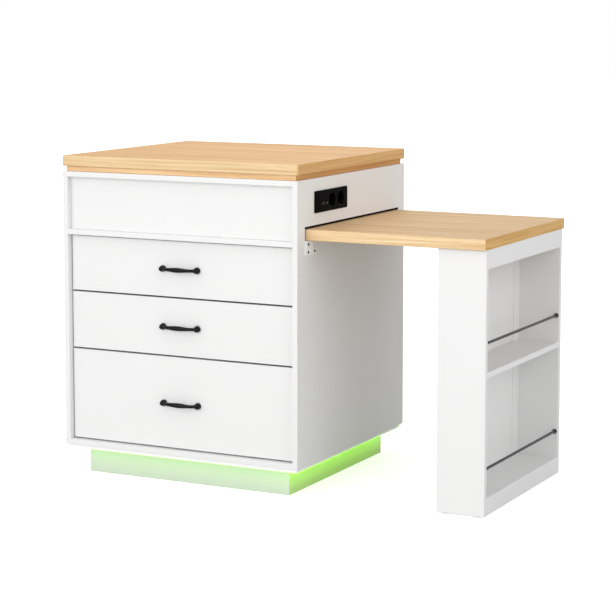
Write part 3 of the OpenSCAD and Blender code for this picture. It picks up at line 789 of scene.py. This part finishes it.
def addBalls(n):
    # two rows of balls run above and below the middle member of each slide
    members = looseBoxes(f"drawer_{n}_mid_members")
    centreX = sum((low.x + high.x) / 2 for low, high in members) / len(members)
    for row, ball in ballMasters.items():
        points = []
        for low, high in members:
            right = (low.x + high.x) / 2 > centreX
            x = high.x - balls[row]["inwards"] * mm if right else low.x + balls[row]["inwards"] * mm
            for lift in (-1, 1):
                z = (low.z + high.z) / 2 + lift * balls[row]["lift"] * mm
                points += [(x, low.y + (balls[row]["from"] + balls["pitch"] * k) * mm, z)
                           for k in range(balls["count"])]
        addScattered(f"drawer_{n}_slide_balls_{row}", ball, points, (0, 0, 0), f"drawer_{n}_slides",
                     "slide_steel", 0.0, 1, "ball_steel")


for n in (1, 2, 3):
    addBalls(n)
print("slides finished")


# sizes in mm; the steps give each bend's depth behind the face and how far it stands off the recess wall
earthClip = {"width": 4.2, "thickness": 0.5, "radius": 19.5, "fromFront": 103.0, "pitch": 54.0,
             "steps": [(13.0, 0.0), (9.36, 2.2), (6.5, 2.2), (2.0, 0.3)]}


def addEarthClips():
    # a sprung clip at the top and the bottom of each recess
    low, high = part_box("socket_faceplate")
    middleZ = (low.z + high.z) / 2
    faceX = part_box("socket_inserts")[1].x
    half = earthClip["width"] / 2 * mm
    shape = bmesh.new()
    for recess in (0, 1):
        y = low.y + (earthClip["fromFront"] + recess * earthClip["pitch"]) * mm
        for lift in (-1, 1):
            rows = []
            for depth, stand in earthClip["steps"]:
                for inner in (0, earthClip["thickness"]):
                    z = middleZ + lift * (earthClip["radius"] - stand - inner) * mm
                    rows.append([shape.verts.new((faceX - depth * mm, y + side * half, z))
                                 for side in (-1, 1)])
            for k in range(0, len(rows) - 2, 2):
                a, b, c, d = rows[k:k + 4]
                shape.faces.new((a[0], c[0], c[1], a[1]))
                shape.faces.new((b[0], b[1], d[1], d[0]))
                shape.faces.new((a[0], b[0], d[0], c[0]))
                shape.faces.new((a[1], c[1], d[1], b[1]))
            for a, b in ((rows[0], rows[1]), (rows[-2], rows[-1])):
                shape.faces.new((a[0], a[1], b[1], b[0]))
    bmesh.ops.recalc_face_normals(shape, faces=shape.faces)
    mesh = toMesh(shape, "socket_earth_clips")
    paint(mesh, ["port_metal"])
    newPiece("socket_earth_clips", mesh, "cabinet")


# from the front end of the plate, in mm: middle, width, height, depth of each port
portSleeves = {"wide": (49.0, 13.0, 5.4, 9.0), "narrow": (72.6, 9.0, 3.4, 9.0)}
sleeve = {"wall": 0.35, "drop": 7.0, "proud": 0.15}


def addSleeve(shape, centre, width, height, depth):
    # a thin rectangular sleeve round the x axis, its open front at centre
    ends = []
    for x in (centre.x, centre.x - depth):
        for inset in (0.0, sleeve["wall"] * mm):
            a, b = width / 2 - inset, height / 2 - inset
            ends.append([shape.verts.new((x, centre.y + side * a, centre.z + rise * b))
                         for side, rise in ((-1, -1), (1, -1), (1, 1), (-1, 1))])
    front, frontIn, back, backIn = ends
    for k in range(4):
        n = (k + 1) % 4
        shape.faces.new((front[k], front[n], frontIn[n], frontIn[k]))
        shape.faces.new((back[k], backIn[k], backIn[n], back[n]))
        shape.faces.new((front[k], back[k], back[n], front[n]))
        shape.faces.new((frontIn[k], frontIn[n], backIn[n], backIn[k]))


def addPortSleeves():
    low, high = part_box("socket_faceplate")
    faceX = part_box("usb_module")[1].x + sleeve["proud"] * mm
    z = (low.z + high.z) / 2 - sleeve["drop"] * mm
    shape = bmesh.new()
    for middle, width, height, depth in portSleeves.values():
        addSleeve(shape, Vector((faceX, low.y + middle * mm, z)), width * mm, height * mm, depth * mm)
    bmesh.ops.recalc_face_normals(shape, faces=shape.faces)
    mesh = toMesh(shape, "port_sleeves")
    paint(mesh, ["port_metal"])
    newPiece("port_sleeves", mesh, "cabinet")


addEarthClips()
addPortSleeves()
print("socket details made")


studio = {"floorSize": 60.0, "floorTone": 0.68, "nearGlow": 0.64, "farGlow": 1.0, "nearEdge": 1.8,
          "farEdge": 4.0, "horizonLight": 1.05, "zenithLight": 0.3, "aim": (0.1, 0.0, 0.45)}
# each light's direction from the object, distance and width in metres, and power in watts
lights = {
    "key": {"from": (-0.22, -0.93, 0.28), "distance": 7.0, "width": 5.0, "watts": 178},
    "overhead": {"from": (-0.10, -0.30, 0.95), "distance": 5.0, "width": 4.0, "watts": 60},
    "fill": {"from": (0.88, -0.34, 0.36), "distance": 4.2, "width": 3.5, "watts": 42},
    "rear": {"from": (-0.30, 0.75, 0.60), "distance": 6.0, "width": 3.0, "watts": 50},
}
white = (1, 1, 1, 1)


def addFloor():
    half = studio["floorSize"] / 2
    mesh = bpy.data.meshes.new("studio_floor")
    corners = [(-half, -half, 0), (half, -half, 0), (half, half, 0), (-half, half, 0)]
    mesh.from_pydata(corners, [], [(0, 1, 2, 3)])
    floor = newObject("studio_floor", mesh)
    paper = bpy.data.materials.new("paleFloor")
    paper.use_nodes = True
    tree = paper.node_tree
    surface = tree.nodes["Principled BSDF"].inputs
    surface["Base Color"].default_value = (*[studio["floorTone"]] * 3, 1)
    surface["Roughness"].default_value = 0.9
    surface["Specular IOR Level"].default_value = 0.1
    surface["Emission Color"].default_value = white
    place = addNode(tree, "ShaderNodeTexCoord")
    distance = addNode(tree, "ShaderNodeVectorMath", {"operation": "LENGTH"})
    feed(tree, place.outputs["Object"], distance.inputs[0])
    glow = spread(tree, distance.outputs["Value"], studio["nearEdge"], studio["farEdge"],
                  studio["nearGlow"], studio["farGlow"])
    path = addNode(tree, "ShaderNodeLightPath")
    shown = mathNode(tree, "MULTIPLY", glow, path.outputs["Is Camera Ray"])   # the glow lights nothing
    feed(tree, shown, surface["Emission Strength"])
    mesh.materials.append(paper)


def addLights():
    for name, light in lights.items():
        lamp = bpy.data.lights.new(name, "AREA")
        lamp.shape = "SQUARE"
        lamp.size = light["width"]
        lamp.energy = light["watts"]
        direction = Vector(light["from"])
        holder = newObject(name, lamp)
        holder.location = Vector(studio["aim"]) + light["distance"] * direction.normalized()
        holder.rotation_euler = (-direction).to_track_quat("-Z", "Y").to_euler()


def addSky():
    # light that fades towards the zenith, behind a backdrop of plain white
    world = bpy.data.worlds.new("studio")
    world.use_nodes = True
    bpy.context.scene.world = world
    tree = world.node_tree
    sky = tree.nodes["Background"]
    place = addNode(tree, "ShaderNodeTexCoord")
    split = addNode(tree, "ShaderNodeSeparateXYZ", None, {"Vector": place.outputs["Generated"]})
    light = spread(tree, split.outputs["Z"], 0.0, 1.0, studio["horizonLight"], studio["zenithLight"])
    feed(tree, light, sky.inputs["Strength"])
    sky.inputs["Color"].default_value = white
    seen = addNode(tree, "ShaderNodeBackground", None, {"Color": white, "Strength": 1.0})
    path = addNode(tree, "ShaderNodeLightPath")
    mix = addNode(tree, "ShaderNodeMixShader", None, {"Fac": path.outputs["Is Camera Ray"]})
    feed(tree, sky.outputs[0], mix.inputs[1])
    feed(tree, seen.outputs[0], mix.inputs[2])
    feed(tree, mix.outputs[0], tree.nodes["World Output"].inputs["Surface"])


lens = {"place": (2.5293, -5.0521, 1.3349), "yaw": 27.11, "pitch": 6.49, "focal": 115.97, "sensor": 36.0,
        "shiftX": 0.0146, "shiftY": -0.12, "farthest": 200}


def addCamera():
    camera = bpy.data.cameras.new("camera")
    camera.lens = lens["focal"]
    camera.sensor_width = lens["sensor"]
    camera.shift_x = lens["shiftX"]
    camera.shift_y = lens["shiftY"]
    camera.clip_end = lens["farthest"]
    holder = newObject("camera", camera)
    holder.location = lens["place"]
    holder.rotation_euler = (math.radians(90 - lens["pitch"]), 0, math.radians(lens["yaw"]))
    bpy.context.scene.camera = holder


addFloor()
addLights()
addSky()
addCamera()
bpy.context.scene.view_settings.view_transform = "Standard"
print("studio ready")

for leftover in [o for o in bpy.data.objects if o.name.endswith("_master")]:
    bpy.data.objects.remove(leftover)
